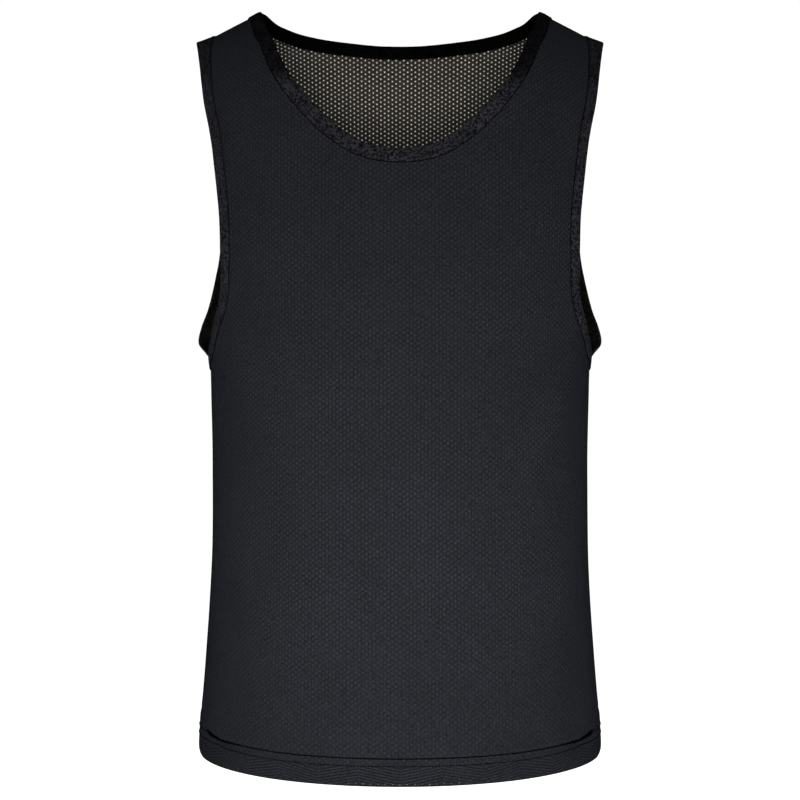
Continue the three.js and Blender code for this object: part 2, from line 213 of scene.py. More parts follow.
TIP_TURN = math.degrees(math.asin(SHOULDER_TIP_HALF / WIDEST_HALF))
NECK_POINT_TURN = math.degrees(math.asin(NECK_POINT_HALF / WIDEST_HALF))


class Side:
    """The front or the back of the worn bib, as a surface of turn and run."""

    def __init__(self, depth_column, y_sign, neck_rows, armhole_rows, folds):
        self.y_sign = y_sign
        self.depth = Curve(SECTIONS, depth_column)
        self.folds = folds
        neck = []
        for half, height in neck_rows:
            turn = turn_of_half(half, height)
            neck.append((turn, float(run_of_height(turn, height))))
        neck.append((NECK_POINT_TURN, 0))
        self.neck_marks = [(-turn, run) for turn, run in neck[:0:-1]] + neck
        armhole = [(TIP_TURN - TIP_ROUNDING, 0), (TIP_TURN, TIP_ROUNDED_OVER)]
        armhole += [(turn, float(run_of_height(turn, height))) for height, turn in armhole_rows]
        armhole.append((SEAM_TURN, float(run_of_height(SEAM_TURN, ARMHOLE_BOTTOM))))
        self.armhole_marks = armhole
        self.edge_turn = Curve([(0, TIP_TURN)] + armhole_rows + [(ARMHOLE_BOTTOM, SEAM_TURN)])

    def neck(self, shares):
        """Turn and run along the neck's free edge, from the centre line to the shoulder."""
        return through(self.neck_marks, 0.5 + np.minimum(shares, 1) / 2)

    def armhole(self, shares):
        """Turn and run along the armhole's free edge, from the shoulder to the side seam."""
        return through(self.armhole_marks, shares)

    def flare(self, turn, height):
        if self.y_sign < 0:
            return 0
        in_from_edge = np.radians(self.edge_turn(height) - turn) * WING_RADIUS
        return wing_out(height) * np.exp(-((np.maximum(in_from_edge, 0) / WING_SPREAD) ** 2))

    def place(self, turn, run):
        """The smooth form of the part, before its folds and creases."""
        size = np.abs(turn)
        height = shoulder_height(size) - fall_of_run(run)
        rounding = np.where(run < ROUNDED_RUN, np.sin(run / SHOULDER_ROUNDING), 1)
        x = half_width(height) * np.sin(np.radians(size)) + self.flare(size, height)
        y = self.depth(height) * np.cos(np.radians(size)) * rounding
        return np.stack([np.sign(turn) * x, self.y_sign * y, height + 0 * x], -1)

    def normal(self, turn, run):
        """Square to the cloth, outwards."""
        tiny = 0.05
        down = self.place(turn, run + tiny) - self.place(turn, run - tiny)
        across = self.place(turn + tiny, run) - self.place(turn - tiny, run)
        square = np.cross(across, down) * self.y_sign
        return square / np.linalg.norm(square, axis=-1, keepdims=True)

    def cloth(self, turn, run, lift=0):
        """A point of the draped cloth, lift above its middle."""
        size = np.abs(turn)
        up, above = near_hem(turn, run)
        share = crease_share(size)
        at = self.place(turn, run + crease_down(above) * share)
        band = band_out(size) * np.clip(-above / BAND_EASE, 0, 1)
        tuck = fold_tuck(up) * np.sin(np.radians(size)) ** 2
        lift = lift + drape(self.folds, at) + crease_out(above) * share + band + tuck
        return at + self.normal(turn, run) * np.asarray(lift)[..., None]

    def in_from(self, curve, shares, distance, inwards):
        """Turn and run a distance in from a free edge, square to it along the cloth."""
        tiny = 0.01
        at = curve(shares)
        turn, run = at[:, 0], at[:, 1]
        here = self.place(turn, run)
        after, before = curve(shares + tiny), curve(shares - tiny)
        along = self.place(after[:, 0], after[:, 1]) - self.place(before[:, 0], before[:, 1])
        per_turn = (self.place(turn + tiny, run) - here) / tiny
        per_run = (self.place(turn, run + tiny) - here) / tiny
        inward = np.cross(along, np.cross(per_turn, per_run))
        inward /= np.linalg.norm(inward, axis=1, keepdims=True)
        t, r = dot(per_turn, inward), dot(per_run, inward)
        way = np.sign(t * inwards[0] + r * inwards[1])
        tt, rr, tr = dot(per_turn, per_turn), dot(per_run, per_run), dot(per_turn, per_run)
        scale = distance * way / (tt * rr - tr * tr)
        return np.stack([turn + scale * (t * rr - r * tr), run + scale * (r * tt - t * tr)], 1)

    def in_from_neck(self, shares, distance):
        at = self.in_from(self.neck, shares, distance, (0, 1))
        at[shares <= 0, 0] = 0
        at[shares >= 1, 1] = 0
        return at

    def in_from_armhole(self, shares, distance):
        at = self.in_from(self.armhole, shares, distance, (-1, 0.2))
        at[shares <= 0, 1] = 0
        at[shares >= 1] = (SEAM_TURN, run_of_height(SEAM_TURN, ARMHOLE_BOTTOM - distance))
        return at


# Soft creases: where one starts and ends on the body (x and height), how wide it is to each
# side of its line, and how high it stands. A trough has a height below 0. Each is on both
# halves of the bib, a little different on the left. It is weaker at its ends, and past them it
# fades out over so many times its width.
FRONT_FOLDS = [
    ((150, -285), (96, -372), 13, -1.4),
    ((158, -300), (118, -402), 12, 1.2),
    ((146, -262), (92, -300), 10, -0.9),
    ((150, -40), (132, -150), 9, -0.7),
    ((166, -430), (128, -560), 16, 1.1),
    ((158, -520), (150, -640), 12, -1.5),
    ((110, -540), (98, -640), 18, 0.8),
    ((40, -560), (30, -640), 22, -0.6),
]
BACK_FOLDS = [
    ((118, -70), (62, -150), 16, -1.6),
    ((150, -240), (96, -330), 14, -2.2),
    ((156, -300), (108, -420), 13, 1.8),
    ((30, -130), (22, -330), 24, -1.5),
    ((70, -200), (58, -420), 20, 1.6),
    ((120, -420), (96, -520), 16, -2.0),
    ((18, -380), (40, -560), 24, 1.4),
    ((150, -470), (140, -640), 14, -2.0),
    ((100, -520), (104, -645), 15, 1.8),
    ((60, -560), (56, -648), 16, -1.4),
    ((14, -560), (10, -640), 18, 1.0),
]
# The right half and the left: which way, how far its folds are shifted, how strong they are
FOLD_HALVES = ((1, (0, 0), 1), (-1, (-7, 11), 0.82))
FOLD_AT_ENDS = 0.35
FOLD_FADES_OVER = 1.6


def drape(folds, at):
    """How far the folds lift the cloth at each point."""
    lift = np.zeros(at.shape[:-1])
    for (x0, z0), (x1, z1), width, tall in folds:
        for side, shift, strength in FOLD_HALVES:
            start, end = np.array([x0, z0]) + shift, np.array([x1, z1]) + shift
            way = end - start
            length = np.hypot(*way)
            dx, dz = at[..., 0] * side - start[0], at[..., 2] - start[1]
            share = (dx * way[0] + dz * way[1]) / length**2
            off = (dx * way[1] - dz * way[0]) / length
            past = np.maximum(np.maximum(-share, share - 1), 0) * length
            middle = np.clip(share, 0, 1)
            taper = FOLD_AT_ENDS + (1 - FOLD_AT_ENDS) * np.sin(math.pi * middle)
            bump = np.exp(-((off / width) ** 2) - (past / (FOLD_FADES_OVER * width)) ** 2)
            lift += tall * strength * taper * bump
    return lift


front = Side(2, -1, FRONT_NECK, FRONT_ARMHOLE, FRONT_FOLDS)
back = Side(3, 1, BACK_NECK, BACK_ARMHOLE, BACK_FOLDS)


# Higher than any point of the flat cut
CUT_TOP = 800


class Pattern:
    """The flat cut of one side: where across and up lie in turn and run. It is worked out a
    little past the seams and below the fold."""

    TURNS = np.linspace(0, 104, 261)
    LEVEL = 4.0
    LOWEST = -8
    GRID = 2.0
    WIDEST = 340

    def __init__(self, side):
        self.side = side
        self.hem_run = run_of_height(self.TURNS, HEM_HEIGHT)
        self.levels = np.arange(self.LOWEST, CUT_TOP, self.LEVEL)
        self.acrosses = np.arange(0, self.WIDEST, self.GRID)
        self.widths = np.array([self.width_at(up) for up in self.levels])
        self.turns = np.array([np.interp(self.acrosses, row, self.TURNS) for row in self.widths])

    def width_at(self, up):
        points = self.side.place(self.TURNS, self.hem_run - up)
        steps = np.linalg.norm(np.diff(points, axis=0), axis=1)
        return np.concatenate([[0], np.cumsum(steps)])

    def lay(self, across, up):
        """Turn and run of points of the flat cut. Points past a seam are brought back to it."""
        level = np.clip((up - self.levels[0]) / self.LEVEL, 0, len(self.levels) - 1.001)
        column = np.clip(np.abs(across) / self.GRID, 0, len(self.acrosses) - 1.001)
        j, i = level.astype(int), column.astype(int)
        v, u = level - j, column - i
        low = self.turns[j, i] * (1 - u) + self.turns[j, i + 1] * u
        high = self.turns[j + 1, i] * (1 - u) + self.turns[j + 1, i + 1] * u
        turn = np.minimum(low * (1 - v) + high * v, SEAM_TURN)
        run = np.maximum(run_of_height(turn, HEM_HEIGHT) - up, 0)
        return np.sign(across) * turn, run

    def seam_across(self, up):
        """How far across the side seam lies at a height above the fold."""
        return np.interp(SEAM_TURN, self.TURNS, self.width_at(up))

    def flat(self, marks):
        """Across and up of points given by turn and run."""
        up = run_of_height(marks[:, 0], HEM_HEIGHT) - marks[:, 1]
        across = [np.interp(turn, self.TURNS, self.width_at(u)) for (turn, _), u in zip(marks, up)]
        return np.stack([across, up], 1)

    def outline(self, inset, seam_reach):
        """Half of the cut: its free edges moved in by inset, its seams out by seam_reach."""
        shares = np.linspace(0, 1, 61)
        armhole = self.flat(self.side.in_from_armhole(shares, inset))
        neck = self.flat(self.side.in_from_neck(shares, inset))
        armhole[0, 1] += seam_reach
        neck[-1, 1] += seam_reach
        underarm = armhole[-1] + (seam_reach, 0)
        heights = np.linspace(underarm[1], 0, 30)
        side_seam = [(self.seam_across(up) + seam_reach, up) for up in heights]
        corners = [(-1, 0), (-1, neck[0, 1])]
        return np.array(corners + list(neck) + list(armhole) + side_seam[1:])


def within(outline, points):
    """Which points lie inside a closed outline."""
    inside = np.zeros(len(points), bool)
    x, y = points[:, 0], points[:, 1]
    for (x0, y0), (x1, y1) in zip(outline, np.roll(outline, -1, axis=0)):
        if y0 == y1:
            continue
        crosses = (y0 > y) != (y1 > y)
        inside ^= crosses & (x < (x1 - x0) * (y - y0) / (y1 - y0) + x0)
    return inside


def make_piece(name, points, faces, material, flat=None, shades=None):
    """A smooth mesh from points in millimetres."""
    mesh = bpy.data.meshes.new(name)
    mesh.from_pydata((np.asarray(points) * MM).tolist(), [], [list(face) for face in faces])
    mesh.polygons.foreach_set("use_smooth", [True] * len(mesh.polygons))
    if flat is not None:
        corners = np.empty(len(mesh.loops), int)
        mesh.loops.foreach_get("vertex_index", corners)
        layer = mesh.uv_layers.new(name="cut")
        layer.data.foreach_set("uv", (np.asarray(flat)[corners] * MM).ravel())
    for shade, values in (shades or {}).items():
        layer = mesh.attributes.new(shade, "FLOAT", "POINT")
        layer.data.foreach_set("value", np.asarray(values, np.float32))
    mesh.materials.append(material)
    mesh.validate()
    mesh.update()
    piece = bpy.data.objects.new(name, mesh)
    bpy.context.scene.collection.objects.link(piece)
    return piece


# The mesh cloth

# How far apart the columns of eyelets are, at which distance the eyelets of one column
# repeat, an eyelet's half widths across and up, and whether it is open. The front's yarns
# close its eyelets to shallow dimples, but for those on the fold near the centre line, which
# are open in both layers.
NETS = {
    "front": (3.15, 4.45, (0.62, 0.74), False),
    "back": (3.7, 4.25, (0.31, 0.35), True),
    "front_turn_up": (3.15, 4.9, (0.50, 0.55), False),
    "back_turn_up": (3.7, 4.7, (0.31, 0.35), True),
}
FOLD_HOLE = (1.4, 0.1)
FOLD_HOLES_BELOW = 3
FOLD_HOLES_WITHIN = 52
SUNK = 0.34
FIRST_HOLE = 2.0
RIDGE_LIFT = 0.16
SPLIT_HEIGHT = 345
SEAM_REACH = 1.4
UNEVEN_HOLE = 0.07
TURN_UP_GAP = 1.35
FOLD_BEND = 1.6
SEED = 11
CELL_CORNERS = 6
SMALLEST_FACE = 0.01
SAME_CORNER = 0.02
KEY_STEP = 10**7

# Each point of a net says how far above the crease's painted shade it lies: 0.5 on it, and 0
# or 1 this many widths of the shade off. The cloth's material paints it darker there, as painted
# shade in the crease. Pieces that say nothing are at 0.
CREASE_SHADE_RANGE = 40


def net_cells(pattern, net, low, high):
    """The centres of the holes in the flat cut, between two heights above the fold."""
    column, repeat, _, _ = net
    reach = int(pattern.acrosses[-1] / column)
    columns = np.arange(-reach, reach + 1)
    rows = np.arange(int(low / repeat) - 2, int(high / repeat) + 3)
    i, j = np.meshgrid(columns, rows)
    up = FIRST_HOLE + repeat * (j + (i % 2) / 2)
    centres = np.stack([i * column, up], -1).reshape(-1, 2)
    lowest = low if low > 0 else -repeat / 2
    centres = centres[(centres[:, 1] > lowest) & (centres[:, 1] < high)]
    halved = np.stack([np.abs(centres[:, 0]), np.maximum(centres[:, 1], 1)], 1)
    return centres[within(pattern.outline(NET_END, SEAM_REACH), halved)]


def net_mesh(centres, net, rng):
    """Points across and up, faces, how near each point is to an eyelet's rim, and the
    corners of each cell."""
    column, repeat, half_widths, is_open = net
    wide, narrow, half = column * 2 / 3, column / 3, repeat / 2
    corner = np.array(
        [(wide, 0), (narrow, half), (-narrow, half), (-wide, 0), (-narrow, -half), (narrow, -half)]
    )
    angle = np.radians(np.arange(CELL_CORNERS) * 60)
    ring = np.stack([np.cos(angle), np.sin(angle)], 1)
    size = 1 + UNEVEN_HOLE * rng.standard_normal(len(centres))
    across, up = centres.T
    at_fold = (up > 0) & (up < FOLD_HOLES_BELOW) & (np.abs(across) < FOLD_HOLES_WITHIN)
    hole = np.where(at_fold[:, None], FOLD_HOLE, half_widths) * size[:, None]
    corners = (centres[:, None, :] + corner).reshape(-1, 2)
    rims = (centres[:, None, :] + ring * hole[:, None, :]).reshape(-1, 2)
    keys = np.round(corners / SAME_CORNER).astype(np.int64)
    keys = keys[:, 0] * KEY_STEP + keys[:, 1]
    _, first, shared = np.unique(keys, return_index=True, return_inverse=True)
    flat = np.concatenate([corners[first], rims])
    outer = shared.reshape(-1, CELL_CORNERS)
    inner = len(first) + np.arange(len(rims)).reshape(-1, CELL_CORNERS)
    quads = np.stack([outer, np.roll(outer, -1, 1), np.roll(inner, -1, 1), inner], -1)
    closed = inner[~(at_fold | is_open)]
    quads = np.concatenate([quads.reshape(-1, 4), closed[:, [0, 1, 2, 3]], closed[:, [3, 4, 5, 0]]])
    rim = np.concatenate([np.zeros(len(first)), np.ones(len(rims))])
    return flat, quads, rim, outer


def flat_area(cells):
    """The area of many flat polygons."""
    x, y = cells[..., 0], cells[..., 1]
    turned = x * np.roll(y, -1, axis=1) - np.roll(x, -1, axis=1) * y
    return np.abs(turned.sum(axis=1)).sum() / 2


def make_net(name, side, pattern, net, low, high, material, lift=None):
    """Cloth with an eyelet in each cell of its flat cut. It is laid on the worn form, at a
    lift that may change with the height above the fold."""
    rng = np.random.default_rng(SEED + len(name))
    centres = net_cells(pattern, net, low, high)
    flat, quads, rim, cells = net_mesh(centres, net, rng)
    flat[:, 1] = np.maximum(flat[:, 1], 0)
    turn, run = pattern.lay(flat[:, 0], flat[:, 1])
    rise = RIDGE_LIFT - SUNK * rim
    if lift is not None:
        rise = lift(flat[:, 1]) - rise
    points = side.cloth(turn, run, rise)
    diagonals = points[quads[:, 2]] - points[quads[:, 0]], points[quads[:, 3]] - points[quads[:, 1]]
    area = np.linalg.norm(np.cross(*diagonals), axis=1) / 2
    quads = quads[area > SMALLEST_FACE]
    if (side.y_sign > 0) != (lift is not None):
        quads = quads[:, ::-1]
    # The crease's painted shade: how far each point lies from it, in widths of the shade
    _, above = near_hem(turn, run)
    off = (above + crease_shade_below(np.abs(turn))) / crease_shade_reach(np.abs(turn))
    shades = {"rim": rim, "hem_line": 0.5 + np.clip(off / CREASE_SHADE_RANGE, -0.5, 0.5)}
    flat_area(flat[cells])
    used, quads = np.unique(quads, return_inverse=True)
    shades = {shade: values[used] for shade, values in shades.items()}
    return make_piece(name, points[used], quads.reshape(-1, 4), material, flat[used], shades)


def turned_up(up):
    """How far under the panel the turned-up cloth lies."""
    return -TURN_UP_GAP * (1 - np.exp(-up / FOLD_BEND))


# Lines and rings that follow the cloth

# How far apart their points are, and how far a turn goes along the shoulder
TAPE_SPACING = 1.6
HEM_SPACING = 2.0
SEAM_SPACING = 3
SHOULDER_MM_A_TURN = 2.2
EVEN_SAMPLES = 600


def even_shares(side, curve, spacing):
    """Shares that cut an edge into nearly equal lengths."""
    samples = np.linspace(0, 1, EVEN_SAMPLES)
    marks = curve(samples)
    points = side.place(marks[:, 0], marks[:, 1])
    length = np.concatenate([[0], np.cumsum(np.linalg.norm(np.diff(points, axis=0), axis=1))])
    steps = max(2, round(length[-1] / spacing))
    return np.interp(np.linspace(0, length[-1], steps + 1), length, samples)


def round_edge(at_neck, stretches):
    """Gives a function of the distance in from a free edge and the lift, to points all round.
    A stretch of the edge is a side, which half of it, and whether it is walked forwards."""
    shares = {}
    for side, _, _ in stretches:
        curve = side.neck if at_neck else side.armhole
        shares[side] = even_shares(side, curve, TAPE_SPACING)

    def ring(distance, lift):
        parts = []
        for side, sign, forwards in stretches:
            in_from = side.in_from_neck if at_neck else side.in_from_armhole
            at = in_from(shares[side], distance)
            points = side.cloth(sign * at[:, 0], at[:, 1], lift)
            parts.append(points[:-1] if forwards else points[:0:-1])
        return np.concatenate(parts)

    return ring


def hem_ring(up, lift, rises=0):
    """Points all round at a height above the fold and a lift. They may rise so far with the
    crease."""
    parts = []
    for side, way in ((front, 1), (back, -1)):
        half = cuts[side].seam_across(up)
        across = np.linspace(-half, half, round(2 * half / HEM_SPACING))[::way]
        turn, run = cuts[side].lay(across, np.full(len(across), float(up)))
        run = run - np.minimum(crease_rise(np.abs(turn)), rises) * up / HEM_TURN_UP
        parts.append(side.cloth(turn, run, lift)[:-1])
    return np.concatenate(parts)


def along_side_seam(side, sign, low, high):
    """Gives a function of the distance from the side seam and the lift, to points upwards."""
    ups = np.linspace(low, high, round((high - low) / SEAM_SPACING))

    def line(distance, lift):
        cut = cuts[side]
        across = np.array([cut.seam_across(up) for up in ups]) - distance
        turn, run = cut.lay(sign * across, ups)
        return side.cloth(turn, run, lift)

    return line


def along_shoulder_seam(side, sign, start, end):
    """Gives a function of the distance down from the shoulder seam and the lift, to points
    from the neck outwards."""
    turns = np.linspace(start, end, round((end - start) * SHOULDER_MM_A_TURN / SEAM_SPACING))

    def line(distance, lift):
        return side.cloth(sign * turns, np.full(len(turns), float(distance)), lift)

    return line


def band_faces(rows, count, around, flipped):
    """Quads between neighbouring rows of count points. The rows close into a loop, and
    around says whether each row does too."""
    faces = []
    for row in range(rows):
        after = (row + 1) % rows
        for i in range(count if around else count - 1):
            j = (i + 1) % count
            face = (row * count + i, row * count + j, after * count + j, after * count + i)
            faces.append(face[::-1] if flipped else face)
    return faces


# The bindings are darker at the shoulders: between these heights they turn from light to dark
SHOULDER_SHADE = (-64, -46)
# A band's ripple is smoothed over so many points, and on its flat cut the face towards the
# body lies so far from the other
RIPPLE_SPAN = 5
INSIDE_SHIFT = 4


def make_band(name, line, profile, material, around=True, flipped=False, ripple=0, shaded=0):
    """A strip of cloth with a closed section, given as rows of distance and lift."""
    rng = np.random.default_rng(SEED + len(name))
    rows = []
    for distance, lift in profile:
        flat_row = line(distance, lift)
        noise = rng.standard_normal(len(flat_row) + RIPPLE_SPAN - 1)
        smooth = np.convolve(noise, np.ones(RIPPLE_SPAN) / RIPPLE_SPAN, "valid")
        uneven = ripple * np.sign(lift) * smooth
        outwards = line(distance, lift + 1) - flat_row
        rows.append(flat_row + outwards * uneven[:, None])
    count = len(rows[0])
    across = [distance + INSIDE_SHIFT * (lift < 0) for distance, lift in profile]
    across = np.repeat(across, count)
    length = np.linalg.norm(np.diff(rows[0], axis=0), axis=1)
    along = np.tile(np.concatenate([[0], np.cumsum(length)]), len(rows))
    faces = band_faces(len(rows), count, around, flipped)
    if not around:
        start = [row * count for row in range(len(rows))]
        end = [row * count + count - 1 for row in range(len(rows))]
        faces += [start if flipped else start[::-1], end[::-1] if flipped else end]
    points = np.concatenate(rows)
    # The faces towards the body, which the binding tape paints darker as painted shade
    inside = np.repeat([1.0 if lift < 0 else 0.0 for _, lift in profile], count)
    shoulder = np.interp(points[:, 2], SHOULDER_SHADE, (0, shaded))
    shades = {"inside": inside, "shoulder": shoulder}
    return make_piece(name, points, faces, material, np.stack([along, across], 1), shades)


# Stitches lie along a line of the cloth: how far apart, how far along its pitch each starts,
# how long, how thick, and how deep their ends dip
STITCH_PITCH = 3.0
STITCH_START = 0.1
STITCH_LENGTH = 2.5
THREAD_RADIUS = 0.22
STITCH_DIP = 0.38
STITCH_SAMPLES = 5
THREAD_SIDES = 5
# A thread thins at its ends as a sine does, from this angle on and to this power
TAPER_START = 0.28
TAPER_POWER = 0.4


def walk(points):
    """Gives the length of a closed line of points, and a function of the distance along it.
    The function also walks along another line, of as many points, in step with the first."""
    points = np.concatenate([points, points[:1]])
    length = np.concatenate([[0], np.cumsum(np.linalg.norm(np.diff(points, axis=0), axis=1))])

    def at(distance, other=None):
        line = points if other is None else np.concatenate([other, other[:1]])
        return np.stack([np.interp(distance, length, line[:, k]) for k in range(3)], -1)

    return length[-1], at


def thread_mesh(paths, ups, radius):
    """Tubes along paths of points, each closed at its ends. ups points out of the cloth."""
    tubes, samples = paths.shape[:2]
    tangent = np.gradient(paths, axis=1)
    tangent /= np.linalg.norm(tangent, axis=2, keepdims=True)
    beside = np.cross(tangent, ups)
    beside /= np.linalg.norm(beside, axis=2, keepdims=True)
    up = np.cross(beside, tangent)
    along = np.linspace(TAPER_START, math.pi - TAPER_START, samples)
    taper = radius * np.sin(along) ** TAPER_POWER
    angles = np.arange(THREAD_SIDES) * 2 * math.pi / THREAD_SIDES
    rim = beside[:, :, None] * np.cos(angles)[:, None] + up[:, :, None] * np.sin(angles)[:, None]
    points = paths[:, :, None] + rim * taper[:, None, None]
    ids = np.arange(tubes * samples * THREAD_SIDES).reshape(tubes, samples, THREAD_SIDES)
    turned = np.roll(ids, -1, axis=2)
    sides = np.stack([ids[:, :-1], turned[:, :-1], turned[:, 1:], ids[:, 1:]], -1).reshape(-1, 4)
    faces = sides.tolist() + ids[:, 0, ::-1].tolist() + ids[:, -1].tolist()
    return points.reshape(-1, 3), faces


def joined(meshes):
    """The points and faces of many meshes as one."""
    all_points, all_faces, start = [], [], 0
    for points, faces in meshes:
        all_points.append(points)
        all_faces += [[corner + start for corner in face] for face in faces]
        start += len(points)
    return np.concatenate(all_points), all_faces


def make_stitches(name, lines, material, radius):
    """Straight stitches along lines, each given at the cloth and 1 mm above it."""
    tubes = []
    share = np.linspace(0, 1, STITCH_SAMPLES)
    dip = -STITCH_DIP * (2 * share - 1) ** 4
    for low, high in lines:
        total, place = walk(low)
        count = int(total / STITCH_PITCH)
        starts = (np.arange(count)[:, None] + STITCH_START) * total / count
        spots = starts + share * STITCH_LENGTH
        base = place(spots)
        ups = place(spots, high) - base
        tubes.append(thread_mesh(base + ups * dip[:, None], ups, radius))
    return make_piece(name, *joined(tubes), material)


def make_zigzag(name, one, other, up_line, material, pitch):
    """Loops of thread that cross from one line of stitches to another and back. up_line lies
    1 mm out from the first."""
    tubes = []
    share = np.linspace(0, 1, STITCH_SAMPLES)
    length, place = walk(one)
    count = int(length / pitch)
    for phase, across in enumerate((share, 1 - share)):
        spots = (np.arange(count)[:, None] + phase / 2 + share / 2) * length / count
        base = place(spots) * (1 - across)[:, None] + place(spots, other) * across[:, None]
        ups = place(spots, up_line) - place(spots)
        tubes.append(thread_mesh(base, ups, THREAD_RADIUS))
    return make_piece(name, *joined(tubes), material)


# Materials

MESH_BLACK = (0.0053, 0.0057, 0.0068, 1)
# Painted light: the rims of the eyelets, and the floors of closed ones, are painted lighter
MESH_RIM_PAINTED_LIGHT = (0.0090, 0.0097, 0.0117, 1)
# Painted light: the inner faces of see-through cloth are painted lighter and warm, as light that
# comes through it
INSIDE_PAINTED_LIGHT_BLACK = (0.0125, 0.0115, 0.0100, 1)
INSIDE_RIM_PAINTED_LIGHT = (0.125, 0.110, 0.090, 1)
TAPE_BLACK = (0.0066, 0.0064, 0.0078, 1)
# Painted shade: the tape's faces towards the body are painted darker
TAPE_INSIDE_SHADE = (0.0022, 0.0022, 0.0019, 1)
THREAD_BLACK = (0.0003, 0.0003, 0.0004, 1)
THREAD_LIGHT = (0.0014, 0.0014, 0.0018, 1)

# Uneven colour: repeats a millimetre, detail, darkest and lightest share, and the stretch of
# the noise that goes from one to the other
MESH_TONE = (0.02, 2, 0.96, 1.04)
MESH_FUZZ = (0.55, 3, 0.74, 1.26)
TAPE_TONE = (0.05, 2, 0.85, 1.15)
TAPE_CLUMPS = (0.5, 2, 0.22, 2.0, 0.34, 0.68)
SHOULDER_DARKEST = 0.3

# The share of the way to an eyelet's rim where its painted light starts, how dark the
# crease's painted shade is, and the share of its width that is as dark as that
RIM_FROM = 0.3
CREASE_SHADE_DARKEST = 0.06
CREASE_SHADE_CORE = 0.45

# Ribs of knitted loops: their repeat in millimetres and how far they waver
MESH_ROWS = (0.62, 1.2)
MESH_COLUMNS = (0.53, 1.2)
TAPE_RIBS = (1.15, 2.5)
# Finer noise in the tape's knit and in the thread's twist: repeats a millimetre, detail
TAPE_KNIT = (1.4, 3)
THREAD_TWIST = (2.5, 1)
# How high the relief of each stands in millimetres, and how strongly it shows
MESH_RELIEF = (0.12, 0.6)
TAPE_RELIEF = (0.3, 0.8)
THREAD_RELIEF = (0.05, 0.5)

# Blender's wave texture turns through so many radians a unit at a scale of 1
WAVE_RADIANS = 20


class Nodes:
    """A small help for building the nodes of a matt material."""

    def __init__(self, name):
        self.material = bpy.data.materials.new(name)
        self.material.use_nodes = True
        self.tree = self.material.node_tree
        self.shader = self.tree.nodes["Principled BSDF"]
        self.shader.inputs["Roughness"].default_value = 1
        self.shader.inputs["Specular IOR Level"].default_value = 0

    def add(self, kind, **settings):
        node = self.tree.nodes.new("ShaderNode" + kind)
        for name, value in settings.items():
            setattr(node, name, value)
        return node

    def link(self, source, target):
        self.tree.links.new(source, target)

    def coordinates(self):
        """Millimetres of the flat cut."""
        place = self.add("UVMap", uv_map="cut")
        scaled = self.add("VectorMath", operation="SCALE")
        scaled.inputs["Scale"].default_value = 1 / MM
        self.link(place.outputs["UV"], scaled.inputs[0])
        return scaled.outputs["Vector"]

    def noise(self, scale, detail):
        """Noise in space, with scale in repeats a millimetre."""
        node = self.add("TexNoise")
        node.inputs["Detail"].default_value = detail
        node.inputs["Scale"].default_value = scale / MM
        self.link(self.add("TexCoord").outputs["Object"], node.inputs["Vector"])
        return node.outputs["Fac"]

    def uneven(self, scale, detail, low, high, start=0.3, end=0.7):
        """A factor that noise moves between low and high."""
        return self.between(self.noise(scale, detail), low, high, start, end)

    def fill(self, socket, value):
        """Sets a socket to a value, or links another socket to it."""
        if isinstance(value, bpy.types.NodeSocket):
            self.link(value, socket)
        else:
            socket.default_value = value

    def between(self, factor, low, high, start=0.0, end=1.0):
        """A factor's stretch from start to end, eased to go from low to high."""
        node = self.add("MapRange", interpolation_type="SMOOTHSTEP")
        sockets = ("Value", "From Min", "From Max", "To Min", "To Max")
        for socket, value in zip(sockets, (factor, start, end, low, high)):
            self.fill(node.inputs[socket], value)
        return node.outputs["Result"]

    def math(self, operation, *values):
        node = self.add("Math", operation=operation)
        for socket, value in zip(node.inputs, values):
            self.fill(socket, value)
        return node.outputs["Value"]

    def product(self, *factors):
        result = factors[0]
        for factor in factors[1:]:
            result = self.math("MULTIPLY", result, factor)
        return result

    def mix(self, factor, first, second):
        node = self.add("Mix", data_type="RGBA")
        sockets = (node.inputs[0], node.inputs[6], node.inputs[7])
        for socket, value in zip(sockets, (factor, first, second)):
            self.fill(socket, value)
        return node.outputs[2]

    def shade(self, name):
        return self.add("Attribute", attribute_name=name).outputs["Fac"]

    def inner_face(self):
        return self.add("NewGeometry").outputs["Backfacing"]

    def shaded(self, color, factor):
        """The colour times a factor."""
        node = self.add("VectorMath", operation="SCALE")
        self.link(color, node.inputs[0])
        self.link(factor, node.inputs["Scale"])
        return node.outputs["Vector"]

    def wave(self, vector, axis, repeat, distortion):
        """Ribs across an axis, at a repeat in millimetres."""
        node = self.add("TexWave", bands_direction=axis)
        node.inputs["Scale"].default_value = 2 * math.pi / (WAVE_RADIANS * repeat)
        node.inputs["Distortion"].default_value = distortion
        self.link(vector, node.inputs["Vector"])
        return node.outputs["Fac"]

    def bump(self, height, distance, strength):
        node = self.add("Bump")
        node.inputs["Strength"].default_value = strength
        node.inputs["Distance"].default_value = distance * MM
        self.link(height, node.inputs["Height"])
        self.link(node.outputs["Normal"], self.shader.inputs["Normal"])


# Where the hem's two layers lie on each other their meshes show as chevrons: the rows' repeat,
# how far they waver, how wide a chevron is, how steep and how strong
CHEVRON_REPEAT = 2.5
CHEVRON_WAVER = 0.8
CHEVRON_WIDTH = 36
CHEVRON_SLOPE = 0.2
CHEVRON_STRENGTH = 0.42
# Between which heights above the fold the chevrons end, and how strong the dots are among them
BAND_ENDS = (15, 18)
BAND_DOTS = 0.35
# The dots are also weaker low on the bib, and get to full strength between these heights
LOW_DOTS = 0.7
LOW_DOTS_END = (40, 180)


